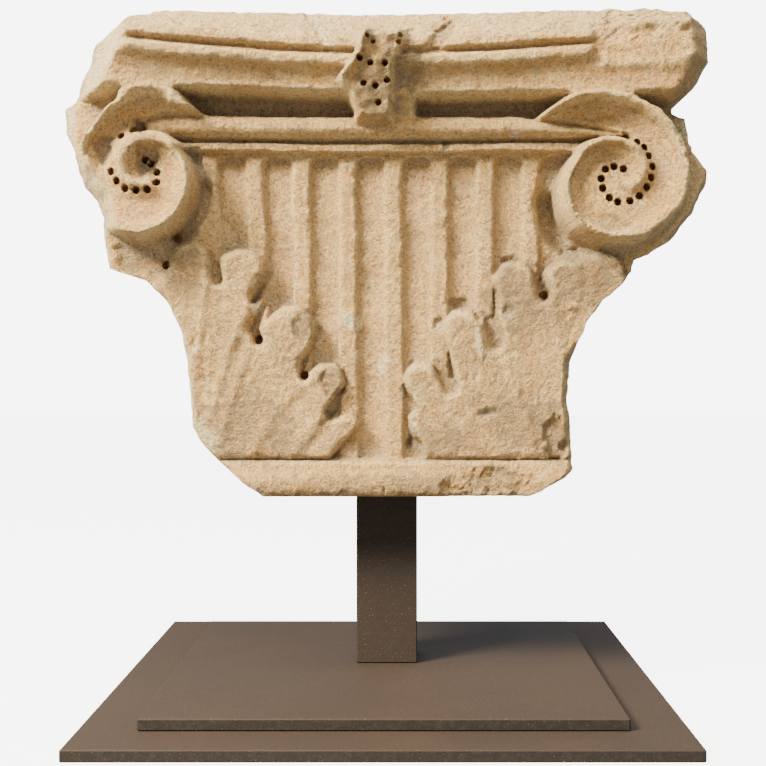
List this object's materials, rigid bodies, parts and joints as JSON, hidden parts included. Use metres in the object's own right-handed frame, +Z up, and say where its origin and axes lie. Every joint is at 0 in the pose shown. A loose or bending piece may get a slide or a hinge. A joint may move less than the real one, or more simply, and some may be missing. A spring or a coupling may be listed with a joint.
{
  "type": "corinthian pilaster capital on a stand",
  "caption": "Worn carved stone pilaster capital with volutes, fluted bell and acanthus leaves, held up by a square rusted steel post on a stepped square foot",
  "frame": {"origin": "centre of the underside of the square base plate, on the floor", "axes": "+Z up through the stand, +X to the viewer's right along the capital's face, -Y out of the carved face towards the viewer"},
  "size_m": [0.7159, 0.6, 0.7444],
  "materials": {
    "stone": "matte",
    "rusted_steel": "matte"
  },
  "bodies": {
    "root": {"pilaster_capital": "stone", "stand_post": "rusted_steel", "stand_upper_plate": "rusted_steel", "stand_base_plate": "rusted_steel"}
  },
  "joints": []
}
